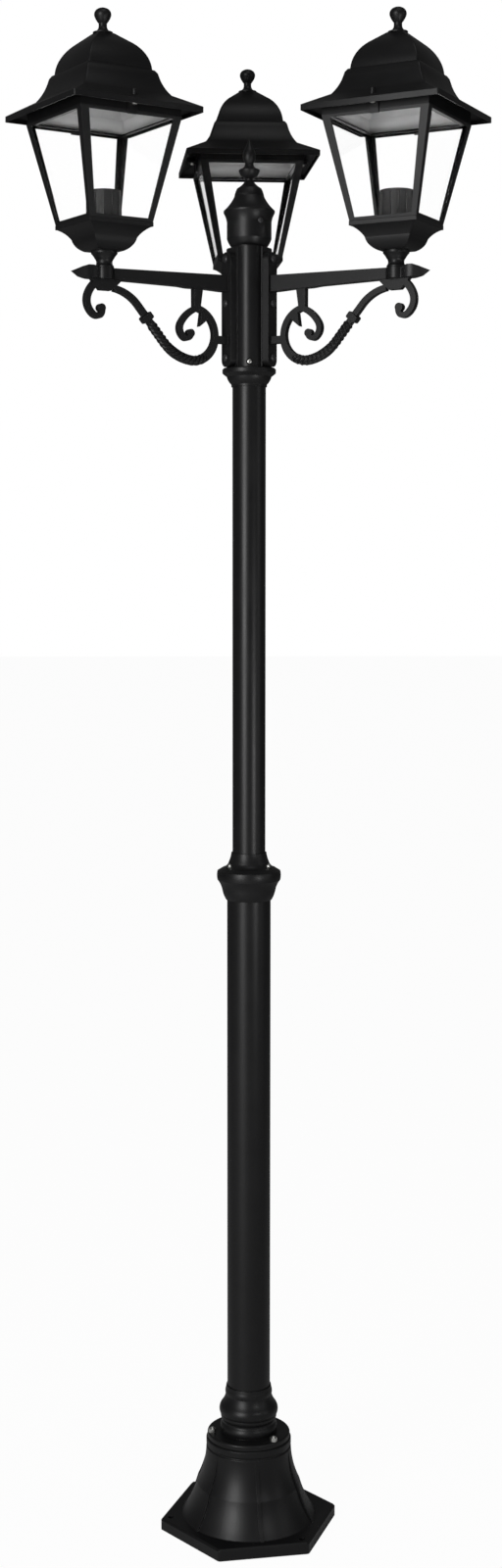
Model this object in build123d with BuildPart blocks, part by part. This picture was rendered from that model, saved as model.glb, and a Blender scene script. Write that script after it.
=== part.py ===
"""Garden lamp post with three square lanterns on scrolled arms, about two metres tall.

Millimetres, +Z up. The origin is on the post's axis, at the underside of the base plate.
The arms point at 90, 210 and 330 degrees, and +X is at 0 degrees.
A size whose name ends in _rise or _height is counted from the level that its comment names.
"""
import os
from math import cos, radians, sin

from build123d import *

os.makedirs("parts", exist_ok=True)

# --- driving dimensions -------------------------------------------------------------------

# fits
slip = 0.15             # radial gap of a piece that slides into another and is then fixed
body_gap = 0.3          # gap between a roof and what it rests on
screw_slip = 0.2        # radial gap of a screw's shank in its hole

# base casting
plate_radius = 126.5    # centre to corner of the hexagon
plate_thickness = 16.3
plate_turn = 10.5       # angle of the first corner
plate_corner = 5.0      # rounding of the plate's corners
plate_bevel = 2.5
plate_wall = 6.0
plate_hole_radius = 4.0
plate_hole_circle = 112.0
bell_bottom_radius = 95.0
bell_waist_radius = 73.0
bell_waist_rise = 46.0    # from the plate's top
bell_top_radius = 59.9
bell_top_rise = 99.0      # from the plate's top
bell_bead_rise = 13.5     # from the flank's top to the casting's top
bell_wall = 5.0
groove_depth = 1.5
rib_count = 6
rib_width = 5.0
rib_rise = 2.4            # out of the bell's flank
base_cable_radius = 24.0

# post foot
flange_radius = 58.2
flange_thickness = 8.5
flange_rounding = 2.6
foot_height = 67.0        # from the flange's top
foot_floor = 7.0          # from the flange's top to the tube's end
foot_ring_radius = 40.3
foot_cove_radius = 36.9
foot_torus_radius = 41.4
foot_neck_radius = 32.4
foot_cable_radius = 20.0
base_bolt_circle = 52.5
base_bolt_radius = 3.0
base_bolt_head = 5.3
base_bolt_head_height = 7.5
base_bolt_length = 16.0   # below the flange's underside

# tubes
lower_tube_radius = 30.0
lower_tube_wall = 2.0
lower_tube_length = 780.7
upper_tube_radius = 22.5
upper_tube_wall = 2.0
upper_tube_length = 713.0

# mid collar
collar_web = 4.0          # floor between the collar's two sockets
collar_cable_radius = 16.0
collar_drop = 27.5        # below the lower tube's end
collar_rise = 34.0        # above the upper tube's end
collar_shoulder_radius = 43.6
collar_waist_radius = 27.6

# set screws
set_screw_radius = 2.5
set_screw_head = 3.6
set_screw_head_height = 3.0
collar_screw_rise = 16.5  # above the upper tube's end
collar_screw_seat = 30.4
hub_screw_drop = 17.0     # below the upper tube's top
foot_screw_drop = 35.0    # below the foot's top

# arm hub
hub_socket_depth = 48.0   # the upper tube's length in the hub
hub_flange_radius = 36.0
hub_flange_rise = 17.0    # from the hub's bottom
hub_flange_thickness = 7.0
hub_core_radius = 27.0
hub_lobe_radius = 17.5
hub_lobe_reach = 32.5
hub_cavity_radius = 19.0
hub_wire_radius = 4.0
hub_neck_height = 39.0    # from the lobes' top
shelf_thickness = 3.0

# arms
arm_azimuth = {"left": 210.0, "right": 330.0, "back": 90.0}
arm_plate_gap = 1.0       # from the hub's flange to the arm's back plate
arm_plate_height = 150.0
arm_plate_width = 24.0
arm_plate_thickness = 8.8
arm_screw_rises = (12.0, 83.0, 141.0)    # from the back plate's lower end
arm_screw_head = 4.8
arm_screw_head_height = 3.2
arm_screw_bite = 3.5      # length of the arm screws in the hub
hub_top_rise = 7.0        # from the back plates' upper ends to the lobes' top
bar_rise = 116.5          # from the back plate's lower end to the bar's top at the seat
bar_swell = 3.0           # rise of the bar's top towards the hub
bar_depth_at_hub = 18.5
bar_depth_at_seat = 14.8
bar_width = 13.0
seat_radius = 13.0
leaf_start = 11.6         # from the lantern's axis outwards
leaf_length = 36.5
leaf_half_width = 10.5
leaf_rise = 2.0
scroll_width = 9.0        # across the scroll, at right angles to its plane
s_half_depth = 3.9        # half the depth of the S in the arm's plane
curl_half_depth = 3.9
knuckle_width = 13.0
eye_radius = 5.4
wire_radius = 3.2
wire_drop = 7.5           # from the bar's top to the wire channel's axis

# lanterns
lantern_reach = 216.4     # post axis to lantern axis
lantern_turn = {"left": 2.9, "right": 2.5, "back": 4.7}

neck_height = 21.0        # from the bar's top to the pan
neck_waist_radius = 10.4
neck_foot_radius = 12.3
neck_flange_radius = 17.0
neck_flange_thickness = 3.0
pan_height = 34.5
pan_floor = 3.0
pan_wall = 1.8
pan_foot_half = 18.5
pan_knee_half = 30.8
pan_knee_rise = 15.5      # from the pan's bottom
pan_rim_half = 46.2
pan_rim_height = 5.5
pan_rim_width = 4.5

cage_height = 129.0       # from the pan's top
cage_low_half = 45.8
cage_high_half = 73.0
cage_wall = 2.6
post_low_width = 7.6
post_high_width = 11.2
rail_low = 4.0
rail_high = 4.0
ledge_thickness = 2.0
ledge_half = 34.0         # inner half width of the bottom ledge
flange_half = 62.0        # inner half width of the top flange
glass_thickness = 3.0
glass_gap = 0.3
ear_width = 12.0
ear_thickness = 3.0
ear_rise = 11.0           # from the cage's top to the ears' upper faces

# roof: rises are counted from the eave's lower edge
eave_rise = 4.0           # from the cage's top
eave_half = 93.2
eave_edge = 7.2
crease_half = 64.3
crease_rise = 22.5
step_half = 52.4
step_rise = 46.0
dome_half = 46.2
dome_rise = 55.5
shoulder_half = 25.4
shoulder_rise = 92.5
roof_top_half = 11.8
roof_height = 103.0
roof_wall = 1.8
crown_thickness = 7.5
rim_width = 2.5
roof_screw_reach = 79.0
roof_screw_radius = 2.0
roof_screw_head = 3.6
roof_screw_head_height = 2.6
finial_height = 32.5
finial_foot_radius = 12.8
finial_stem_radius = 5.3
finial_knob_radius = 10.7
finial_stud_radius = 3.0
finial_stud_length = 9.0

# lamp holder and what carries it
nipple_radius = 5.0
nipple_bore = 3.5
nipple_seat = 4.0         # depth of the nipple's end in the arm
nipple_rise = 19.5        # above the pan's bottom
strap_thickness = 1.5
strap_width = 12.0
strap_foot_half = 16.0
strap_tip_half = 38.0
nut_height = 5.0
nut_flats = 17.0
holder_radius = 21.5
holder_base_radius = 13.0
holder_base_height = 7.0
holder_cone_height = 6.0
holder_body_height = 53.0
holder_chamber_radius = 8.0
holder_floor_rise = 15.0  # from the shoulder to the floor under the contact
holder_floor_thickness = 3.0
holder_rib_count = 12
holder_rib_radius = 1.1
socket_radius = 13.3      # wall of the lamp's thread
socket_wall = 0.6
socket_length = 27.0
socket_rise = 4.0         # from the floor to the shell's lower end
contact_radius = 4.0
contact_height = 3.5

# centre cap and spire: rises are counted from the hub's top
cap_wall = 3.0
hub_neck_radius = 21.4    # which the cap slides over
cap_seat_radius = 24.2
cap_body_radius = 29.8
cap_body_rise = 12.5
cap_brim_radius = 34.2
cap_brim_rise = 46.6
cap_shoulder_radius = 20.0
cap_shoulder_rise = 67.5
cap_knob_radius = 16.2
cap_knob_rise = 78.4
cap_neck_radius = 5.4
cap_height = 88.5
cap_screw_rise = 33.0
cap_screw_azimuth = 298.0
spire_collar_radius = 14.2
spire_collar_rise = 13.5  # from the cap's top, as the next two
spire_waist_rise = 22.5
spire_height = 56.5
spire_radius = 5.5
spire_belly_radius = 8.6
block_length = 24.0
block_width = 12.0
block_height = 16.0

# --- levels that follow from them -----------------------------------------------------------

bell_waist = plate_thickness + bell_waist_rise
bell_top = plate_thickness + bell_top_rise
base_top = bell_top + bell_bead_rise
flange_top = base_top + flange_thickness
foot_top = flange_top + foot_height
lower_tube_bottom = flange_top + foot_floor
lower_tube_top = lower_tube_bottom + lower_tube_length
upper_tube_bottom = lower_tube_top + collar_web
upper_tube_top = upper_tube_bottom + upper_tube_length
hub_bottom = upper_tube_top - hub_socket_depth
hub_flange_low = hub_bottom + hub_flange_rise
hub_flange_high = hub_flange_low + hub_flange_thickness
arm_plate_low = hub_flange_high + arm_plate_gap
arm_plate_high = arm_plate_low + arm_plate_height
hub_top = arm_plate_high + hub_top_rise
hub_neck_top = hub_top + hub_neck_height
bar_top = arm_plate_low + bar_rise
wire_height = bar_top - wire_drop
pan_bottom = bar_top + neck_height
pan_top = pan_bottom + pan_height
cage_top = pan_top + cage_height
eave_low = cage_top + eave_rise
roof_top = eave_low + roof_height
finial_top = roof_top + finial_height


def polar(radius, angle):
    return (radius * cos(radians(angle)), radius * sin(radians(angle)))


def between(start, end, share):
    """Value at a share of the way from start to end."""
    return start + share * (end - start)


def lean(height):
    """Half width of the cage's outer faces at a height."""
    return between(cage_low_half, cage_high_half, (height - pan_top) / (cage_top - pan_top))


def brim(half):
    """Height of the roof's brim at a half width."""
    share = (half - crease_half) / (eave_half - crease_half)
    return between(eave_low + crease_rise, eave_low + eave_edge, share)


def outward(azimuth, radius, height):
    """Plane on the post, turned so that its normal points away from the post's axis."""
    x, y = polar(radius, azimuth)
    return Plane(origin=(x, y, height), x_dir=(0, 0, 1), z_dir=(*polar(1, azimuth), 0))


def bulge(start, end, height):
    """Arc from start to end whose middle stands out by height, to the left of the way."""
    dx = end[0] - start[0]
    dy = end[1] - start[1]
    length = (dx * dx + dy * dy) ** 0.5
    middle_x = (start[0] + end[0]) / 2 - dy / length * height
    middle_y = (start[1] + end[1]) / 2 + dx / length * height
    return ThreePointArc(start, (middle_x, middle_y), end)


def round_screw(shank, length, head, head_height):
    """Pan head screw that points down, with its seat at the origin."""
    with BuildPart() as screw:
        with BuildSketch(Plane.XZ):
            with BuildLine():
                Polyline(
                    (0, head_height), (0, -length), (shank, -length), (shank, 0),
                    (head, 0), (head, head_height * 0.35),
                )
                ThreePointArc(
                    (head, head_height * 0.35),
                    (head * 0.78, head_height * 0.82),
                    (head * 0.35, head_height),
                )
                Line((head * 0.35, head_height), (0, head_height))
            make_face()
        revolve(axis=Axis.Z)
    return screw.part


# --- base casting: hexagonal plate and ribbed bell, hollow from below ------------------------

plate_hole_angles = [plate_turn + 180 + 120 * k for k in range(3)]
rib_angles = [plate_turn + 30 + 60 * k for k in range(rib_count)]
bell_foot = (bell_bottom_radius, plate_thickness)
bell_middle = (bell_waist_radius, bell_waist)
bell_head = (bell_top_radius, bell_top)
low_sag = 2.3           # hollow of the bell's flank below the waist
high_sag = 2.9          # and above it


def flank(grow):
    """The bell's flank, moved outwards by grow, and back to the bell's own top."""
    foot = (bell_foot[0] + grow, bell_foot[1])
    middle = (bell_middle[0] + grow, bell_middle[1])
    bulge(foot, middle, low_sag)
    bulge(middle, bell_head, high_sag - grow * 0.2)


with BuildPart() as bell_rib:
    with BuildSketch(Plane.XZ):
        with BuildLine():
            flank(rib_rise)
            Polyline(
                bell_head,
                (bell_top_radius - bell_wall * 0.8, bell_top),
                (bell_waist_radius - bell_wall * 0.8, bell_waist),
                (bell_bottom_radius - bell_wall * 0.8, plate_thickness),
                (bell_bottom_radius + rib_rise, plate_thickness),
            )
        make_face()
    extrude(amount=rib_width / 2, both=True)

with BuildPart() as base_casting:
    with BuildSketch(Plane.XY):
        RegularPolygon(plate_radius, 6, rotation=plate_turn)
    extrude(amount=plate_thickness)
    fillet(base_casting.edges().filter_by(Axis.Z), plate_corner)
    chamfer(base_casting.faces().sort_by(Axis.Z)[-1].edges(), plate_bevel)
    with BuildSketch(Plane.XY):
        RegularPolygon(plate_radius - plate_wall, 6, rotation=plate_turn)
    extrude(amount=plate_thickness - plate_wall, mode=Mode.SUBTRACT)
    # bosses that carry the ground bolts through the hollow plate
    with BuildSketch(Plane.XY):
        with Locations(*[polar(plate_hole_circle, a) for a in plate_hole_angles]):
            Circle(plate_hole_radius + 4)
    extrude(amount=plate_thickness - plate_bevel)
    # bell, a groove and a bead at its top
    with BuildSketch(Plane.XZ):
        with BuildLine():
            flank(0)
            Polyline(
                bell_head,
                (bell_top_radius - groove_depth, bell_top + groove_depth),
                (bell_top_radius - groove_depth, bell_top + 2 * groove_depth),
                (bell_top_radius, bell_top + 3 * groove_depth),
                (bell_top_radius, base_top - groove_depth),
                (bell_top_radius - groove_depth, base_top),
                (0, base_top),
                (0, plate_thickness / 2),
                (bell_bottom_radius, plate_thickness / 2),
                bell_foot,
            )
        make_face()
    revolve(axis=Axis.Z)
    for angle in rib_angles:
        add(bell_rib.part, rotation=(0, 0, angle))
    # hollow inside, closed at the top by a web with the cable's hole
    with BuildSketch(Plane.XZ):
        with BuildLine():
            inner_foot = (bell_bottom_radius - bell_wall, plate_thickness)
            inner_middle = (bell_waist_radius - bell_wall, bell_waist)
            inner_head = (bell_top_radius - bell_wall, bell_top)
            Polyline((0, -1), (bell_bottom_radius - bell_wall, -1), inner_foot)
            bulge(inner_foot, inner_middle, low_sag)
            bulge(inner_middle, inner_head, high_sag)
            Polyline(
                inner_head,
                (bell_top_radius - bell_wall, base_top - bell_wall),
                (base_cable_radius, base_top - bell_wall),
                (base_cable_radius, base_top + 1),
                (0, base_top + 1),
                (0, -1),
            )
        make_face()
    revolve(axis=Axis.Z, mode=Mode.SUBTRACT)
    # bosses under the top for the base bolts
    with BuildSketch(Plane.XY.offset(base_top - base_bolt_length)):
        with Locations(*[polar(base_bolt_circle, a) for a in plate_hole_angles]):
            Circle(base_bolt_radius + 4)
        Circle(bell_top_radius - bell_wall / 2, mode=Mode.INTERSECT)
    extrude(amount=base_bolt_length)
    with Locations(*[(*polar(base_bolt_circle, a), base_top) for a in plate_hole_angles]):
        Hole(base_bolt_radius + screw_slip, depth=base_bolt_length)
    with Locations(*[(*polar(plate_hole_circle, a), plate_thickness) for a in plate_hole_angles]):
        Hole(plate_hole_radius)
base_casting.part.label = "base_casting"
export_step(base_casting.part, "parts/base_casting.step")

# --- base bolts: domed hexagon heads on the post foot's flange --------------------------------

bolt_bottom = base_top - base_bolt_length + 2

with BuildPart() as base_bolt:
    with BuildSketch(Plane.XY.offset(bolt_bottom)):
        Circle(base_bolt_radius)
    extrude(amount=flange_top - bolt_bottom)
    with BuildSketch(Plane.XY.offset(flange_top)):
        RegularPolygon(base_bolt_head, 6)
    extrude(amount=base_bolt_head_height * 0.7)
    with BuildSketch(Plane.XY.offset(flange_top + base_bolt_head_height * 0.7)):
        Circle(base_bolt_head * 0.84)
    extrude(amount=base_bolt_head_height * 0.3, taper=50)

with BuildPart() as base_bolts:
    with Locations(*[polar(base_bolt_circle, a) for a in plate_hole_angles]):
        add(base_bolt.part)
base_bolts.part.label = "base_bolts"
export_step(base_bolts.part, "parts/base_bolts.step")

# --- post foot: flange on the bell, and a turned socket for the lower tube --------------------

grub_angles = (62, 118)
grub_height = foot_top - foot_screw_drop
ring_low = (foot_ring_radius - 2, flange_top)
ring_high = (foot_ring_radius - 2, flange_top + foot_height * 0.19)
cove_high = (foot_cove_radius + 1.5, flange_top + foot_height * 0.29)
bead_high = (foot_torus_radius - 2.2, flange_top + foot_height * 0.37)
torus_high = (foot_torus_radius - 3.2, flange_top + foot_height * 0.61)
neck_low = (foot_neck_radius, flange_top + foot_height * 0.8)
neck_high = (foot_neck_radius - 0.2, flange_top + foot_height * 0.93)

with BuildPart() as post_foot:
    with BuildSketch(Plane.XZ):
        with BuildLine():
            Polyline(
                (foot_cable_radius, base_top),
                (flange_radius - 1, base_top),
                (flange_radius, base_top + 1),
                (flange_radius, flange_top - flange_rounding),
            )
            bulge(
                (flange_radius, flange_top - flange_rounding),
                (flange_radius - flange_rounding, flange_top),
                -flange_rounding * 0.29,
            )
            Line((flange_radius - flange_rounding, flange_top), ring_low)
            bulge(ring_low, ring_high, -2.0)
            bulge(ring_high, cove_high, 1.4)
            bulge(cove_high, bead_high, -0.5)
            bulge(bead_high, torus_high, -2.6)
            bulge(torus_high, neck_low, 0.8)
            bulge(neck_low, neck_high, -0.7)
            Polyline(
                neck_high,
                (lower_tube_radius + 1.4, foot_top),
                (lower_tube_radius + slip, foot_top),
                (lower_tube_radius + slip, lower_tube_bottom),
                (foot_cable_radius, lower_tube_bottom),
                (foot_cable_radius, base_top),
            )
        make_face()
    revolve(axis=Axis.Z)
    with Locations(*[(*polar(base_bolt_circle, a), flange_top) for a in plate_hole_angles]):
        Hole(base_bolt_radius + screw_slip, depth=flange_thickness + 1)
    with BuildSketch(*[outward(a, lower_tube_radius - 1, grub_height) for a in grub_angles]):
        Circle(set_screw_radius + screw_slip)
    extrude(amount=15, mode=Mode.SUBTRACT)
post_foot.part.label = "post_foot"
export_step(post_foot.part, "parts/post_foot.step")

# --- foot grub screws: headless, behind the post ----------------------------------------------

with BuildPart() as foot_grub_screws:
    with BuildSketch(*[outward(a, lower_tube_radius, grub_height) for a in grub_angles]):
        Circle(set_screw_radius)
        RegularPolygon(set_screw_radius * 0.5, 6, mode=Mode.SUBTRACT)
    extrude(amount=foot_torus_radius - lower_tube_radius - 1.5)
foot_grub_screws.part.label = "foot_grub_screws"
export_step(foot_grub_screws.part, "parts/foot_grub_screws.step")

# --- tubes ------------------------------------------------------------------------------------

with BuildPart() as lower_tube:
    with BuildSketch(Plane.XY.offset(lower_tube_bottom)):
        Circle(lower_tube_radius)
        Circle(lower_tube_radius - lower_tube_wall, mode=Mode.SUBTRACT)
    extrude(amount=lower_tube_length)
lower_tube.part.label = "lower_tube"
export_step(lower_tube.part, "parts/lower_tube.step")

with BuildPart() as upper_tube:
    with BuildSketch(Plane.XY.offset(upper_tube_bottom)):
        Circle(upper_tube_radius)
        Circle(upper_tube_radius - upper_tube_wall, mode=Mode.SUBTRACT)
    extrude(amount=upper_tube_length)
upper_tube.part.label = "upper_tube"
export_step(upper_tube.part, "parts/upper_tube.step")

# --- mid collar: two sockets with a web between them ------------------------------------------

collar_bottom = lower_tube_top - collar_drop
collar_top = upper_tube_bottom + collar_rise
collar_screw_height = upper_tube_bottom + collar_screw_rise
bead_top = (lower_tube_radius + 6.8, collar_bottom + collar_drop * 0.51)
shoulder_low = (collar_shoulder_radius - 0.4, lower_tube_top)
shoulder_high = (collar_shoulder_radius - 0.3, upper_tube_bottom + collar_rise * 0.25)
cone_top = (collar_waist_radius + 8.4, upper_tube_bottom + collar_rise * 0.38)
waist_point = (collar_waist_radius, upper_tube_bottom + collar_rise * 0.62)
collar_end = (upper_tube_radius + 1.6, collar_top)

with BuildPart() as mid_collar:
    with BuildSketch(Plane.XZ):
        with BuildLine():
            Polyline(
                (lower_tube_radius + slip, lower_tube_top),
                (lower_tube_radius + slip, collar_bottom),
                (lower_tube_radius + 1.5, collar_bottom),
            )
            bulge((lower_tube_radius + 1.5, collar_bottom), bead_top, -0.7)
            bulge(bead_top, shoulder_low, 0.9)
            bulge(shoulder_low, shoulder_high, -0.8)
            Line(shoulder_high, cone_top)
            bulge(cone_top, waist_point, 1.6)
            bulge(waist_point, collar_end, 0.5)
            Polyline(
                collar_end,
                (upper_tube_radius + slip, collar_top),
                (upper_tube_radius + slip, upper_tube_bottom),
                (collar_cable_radius, upper_tube_bottom),
                (collar_cable_radius, lower_tube_top),
                (lower_tube_radius + slip, lower_tube_top),
            )
        make_face()
    revolve(axis=Axis.Z)
    for angle in arm_azimuth.values():
        with BuildSketch(outward(angle, upper_tube_radius - 1, collar_screw_height)):
            Circle(set_screw_radius + screw_slip)
        extrude(amount=20, mode=Mode.SUBTRACT)
        with BuildSketch(outward(angle, collar_screw_seat, collar_screw_height)):
            Circle(set_screw_head + body_gap)
        extrude(amount=20, mode=Mode.SUBTRACT)
mid_collar.part.label = "mid_collar"
export_step(mid_collar.part, "parts/mid_collar.step")

# --- collar screws: bright, with their tips on the upper tube ---------------------------------

with BuildPart() as collar_screws:
    seats = [outward(a, collar_screw_seat, collar_screw_height) for a in arm_azimuth.values()]
    with Locations(*seats):
        add(round_screw(
            set_screw_radius, collar_screw_seat - upper_tube_radius,
            set_screw_head, set_screw_head_height,
        ))
collar_screws.part.label = "collar_screws"
export_step(collar_screws.part, "parts/collar_screws.step")

# --- arm hub: socket on the upper tube, three lobes, three pads and a neck for the cap --------

lobe_angles = [a + 60 for a in arm_azimuth.values()]
hub_screw_height = upper_tube_top - hub_screw_drop
hub_screw_seat = hub_lobe_reach - set_screw_head_height
arm_screw_heights = [arm_plate_low + rise for rise in arm_screw_rises]
arm_screw_length = arm_plate_thickness + arm_screw_bite
plate_face = hub_core_radius + arm_plate_thickness
lobes_low = arm_plate_low - arm_plate_gap / 2
hub_lip = (upper_tube_radius + 1.5, hub_bottom + 3)
hub_shoulder = (hub_flange_radius - 5.9, hub_flange_low - 3.7)

with BuildPart() as arm_hub:
    with BuildSketch(Plane.XZ):
        with BuildLine():
            Polyline((0, lobes_low), (0, hub_bottom), (upper_tube_radius + 1.5, hub_bottom), hub_lip)
            bulge(hub_lip, hub_shoulder, -0.9)
            Polyline(
                hub_shoulder,
                (hub_flange_radius - 2.3, hub_flange_low - 1),
                (hub_flange_radius, hub_flange_low + 1),
                (hub_flange_radius, hub_flange_high - 1),
                (hub_flange_radius - 1.5, hub_flange_high),
                (hub_flange_radius - 1.5, lobes_low),
                (0, lobes_low),
            )
        make_face()
    revolve(axis=Axis.Z)
    with BuildSketch(Plane.XY.offset(lobes_low)):
        Circle(hub_core_radius)
        with Locations(*[polar(hub_lobe_reach - hub_lobe_radius, a) for a in lobe_angles]):
            Circle(hub_lobe_radius)
        for angle in arm_azimuth.values():
            with Locations(Location((*polar(hub_core_radius / 2, angle), 0), (0, 0, angle))):
                Rectangle(hub_core_radius, arm_plate_width + 1)
    extrude(amount=hub_top - lobes_low)
    with BuildSketch(Plane.XY.offset(hub_top)):
        Circle(hub_neck_radius)
    extrude(amount=hub_neck_height)
    with BuildSketch(Plane.XY.offset(hub_bottom)):
        Circle(upper_tube_radius + slip)
    extrude(amount=hub_socket_depth, mode=Mode.SUBTRACT)
    with BuildSketch(Plane.XY.offset(upper_tube_top)):
        Circle(hub_cavity_radius)
    extrude(amount=hub_neck_top - upper_tube_top, mode=Mode.SUBTRACT)
    # shelf across the cavity for the terminal block
    with BuildSketch(Plane.XY.offset(hub_top)):
        Rectangle(2 * hub_cavity_radius + 1, block_width)
    extrude(amount=shelf_thickness)
    for angle in arm_azimuth.values():
        with BuildSketch(outward(angle, hub_cavity_radius - 2, wire_height)):
            Circle(hub_wire_radius)
        extrude(amount=20, mode=Mode.SUBTRACT)
        for height in arm_screw_heights:
            with BuildSketch(outward(angle, plate_face - arm_screw_length, height)):
                Circle(set_screw_radius + screw_slip)
            extrude(amount=20, mode=Mode.SUBTRACT)
    for angle in lobe_angles:
        with BuildSketch(outward(angle, upper_tube_radius - 1, hub_screw_height)):
            Circle(set_screw_radius + screw_slip)
        extrude(amount=20, mode=Mode.SUBTRACT)
        with BuildSketch(outward(angle, hub_screw_seat, hub_screw_height)):
            Circle(set_screw_head + body_gap)
        extrude(amount=20, mode=Mode.SUBTRACT)
arm_hub.part.label = "arm_hub"
export_step(arm_hub.part, "parts/arm_hub.step")

# --- hub screws: in the lobes, with their tips on the upper tube ------------------------------

with BuildPart() as hub_screws:
    with Locations(*[outward(a, hub_screw_seat, hub_screw_height) for a in lobe_angles]):
        add(round_screw(
            set_screw_radius, hub_screw_seat - upper_tube_radius,
            set_screw_head, set_screw_head_height,
        ))
hub_screws.part.label = "hub_screws"
export_step(hub_screws.part, "parts/hub_screws.step")

# --- arm screws: three down each arm's back plate ---------------------------------------------

with BuildPart() as arm_screws:
    for angle in arm_azimuth.values():
        with Locations(*[outward(angle, plate_face, height) for height in arm_screw_heights]):
            add(round_screw(
                set_screw_radius, arm_screw_length, arm_screw_head, arm_screw_head_height
            ))
arm_screws.part.label = "arm_screws"
export_step(arm_screws.part, "parts/arm_screws.step")

# --- terminal block: on the shelf, with a row of wire holes -----------------------------------

with BuildPart() as terminal_block:
    with BuildSketch(Plane.XY.offset(hub_top + shelf_thickness)):
        Rectangle(block_length, block_width)
    extrude(amount=block_height)
    with BuildSketch(Plane.XZ):
        with Locations((0, hub_top + shelf_thickness + block_height / 2)):
            with GridLocations(block_length / 3, 1, 3, 1):
                Circle(block_length / 12)
    extrude(amount=block_width, both=True, mode=Mode.SUBTRACT)
terminal_block.part.label = "terminal_block"
export_step(terminal_block.part, "parts/terminal_block.step")

# --- centre cap: turned lid over the hub's neck -----------------------------------------------

cap_top = hub_top + cap_height
cap_bore = hub_neck_radius + slip
cap_foot = (cap_seat_radius, hub_top + 2)
body_low = (cap_body_radius, hub_top + cap_body_rise)
body_high = (cap_body_radius, hub_top + cap_brim_rise - 12.6)
brim_low = (cap_brim_radius, hub_top + cap_brim_rise)
brim_high = (cap_brim_radius, hub_top + cap_brim_rise + 2.4)
cap_shoulder = (cap_shoulder_radius, hub_top + cap_shoulder_rise)
cap_knob = (cap_knob_radius, hub_top + cap_knob_rise)
stud_hole = finial_stud_radius + screw_slip

with BuildPart() as centre_cap:
    with BuildSketch(Plane.XZ):
        with BuildLine():
            Polyline(
                (cap_bore, hub_top + 4), (cap_bore, hub_top), (cap_seat_radius, hub_top), cap_foot,
            )
            bulge(cap_foot, body_low, -0.5)
            Line(body_low, body_high)
            bulge(body_high, brim_low, 0.7)
            Line(brim_low, brim_high)
            bulge(brim_high, cap_shoulder, 1.2)
            bulge(cap_shoulder, cap_knob, -0.5)
            bulge(cap_knob, (cap_neck_radius, cap_top), 1.0)
            Polyline(
                (cap_neck_radius, cap_top),
                (stud_hole, cap_top),
                (stud_hole, cap_top - finial_stud_length - 5),
                (cap_knob_radius - cap_wall, hub_top + cap_knob_rise - 5),
                (cap_shoulder_radius - cap_wall - 1, hub_top + cap_shoulder_rise - 1.5),
                (cap_brim_radius - cap_wall - 3.5, hub_top + cap_brim_rise + 0.4),
                (cap_body_radius - cap_wall, hub_top + cap_brim_rise - 10.6),
                (cap_body_radius - cap_wall, hub_top + cap_body_rise + 1),
                (cap_bore, hub_top + 4),
            )
        make_face()
    revolve(axis=Axis.Z)
    with BuildSketch(outward(cap_screw_azimuth, hub_neck_radius - 1, hub_top + cap_screw_rise)):
        Circle(set_screw_radius + screw_slip)
    extrude(amount=20, mode=Mode.SUBTRACT)
centre_cap.part.label = "centre_cap"
export_step(centre_cap.part, "parts/centre_cap.step")

# --- cap screw: its tip bears on the hub's neck -----------------------------------------------

cap_screw_seat = cap_body_radius + 0.7

with BuildPart() as cap_screw:
    with Locations(outward(cap_screw_azimuth, cap_screw_seat, hub_top + cap_screw_rise)):
        add(round_screw(
            set_screw_radius, cap_screw_seat - hub_neck_radius,
            set_screw_head, set_screw_head_height * 0.7,
        ))
cap_screw.part.label = "cap_screw"
export_step(cap_screw.part, "parts/cap_screw.step")

# --- cap spire: tulip collar and flame, on a stud in the cap ----------------------------------

tulip_foot = (cap_neck_radius, cap_top + 2)
tulip_rim = (spire_collar_radius, cap_top + spire_collar_rise)
tulip_top = (spire_collar_radius - 1.6, cap_top + spire_collar_rise + 1.4)
flame_waist = (spire_radius, cap_top + spire_waist_rise)
spire_top = cap_top + spire_height
flame_belly = (spire_belly_radius - 2.6, between(flame_waist[1], spire_top, 0.56))

with BuildPart() as cap_spire:
    with BuildSketch(Plane.XZ):
        with BuildLine():
            Polyline(
                (0, spire_top),
                (0, cap_top - finial_stud_length),
                (finial_stud_radius, cap_top - finial_stud_length),
                (finial_stud_radius, cap_top),
                (cap_neck_radius, cap_top),
                tulip_foot,
            )
            bulge(tulip_foot, tulip_rim, -1.7)
            Line(tulip_rim, tulip_top)
            bulge(tulip_top, flame_waist, 1.8)
            bulge(flame_waist, flame_belly, -2.8)
            bulge(flame_belly, (0.6, spire_top), 0.5)
            Line((0.6, spire_top), (0, spire_top))
        make_face()
    revolve(axis=Axis.Z)
cap_spire.part.label = "cap_spire"
export_step(cap_spire.part, "parts/cap_spire.step")

# --- arms: bar with a leaf point, S scroll, two curls and a back plate ------------------------

# the scrolls keep their form when the lantern's reach changes
scroll_unit = (lantern_reach - plate_face) / 180


def ribbon(path, stations):
    """Band along a path in the arm's plane, with half widths set at shares of its length."""
    count = max(8, round(path.length / 7))
    left = []
    right = []
    for step in range(count + 1):
        share = step / count
        for (share_a, half_a), (share_b, half_b) in zip(stations, stations[1:]):
            if share_a <= share <= share_b:
                half = between(half_a, half_b, (share - share_a) / (share_b - share_a))
        point = path.position_at(share)
        along = path.tangent_at(share)
        left.append((point.X - along.Y * half, point.Y + along.X * half))
        right.append((point.X + along.Y * half, point.Y - along.X * half))
    with BuildSketch(mode=Mode.PRIVATE) as band:
        with BuildLine():
            Spline(*left)
            Line(left[-1], right[-1])
            Spline(*reversed(right))
            Line(right[0], left[0])
        make_face()
    return band.sketch


def in_arm(reach, drop):
    """Point in the arm's plane, from the lantern's axis inwards and from the bar's top down."""
    return (lantern_reach - reach * scroll_unit, bar_top - drop * scroll_unit)


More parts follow.
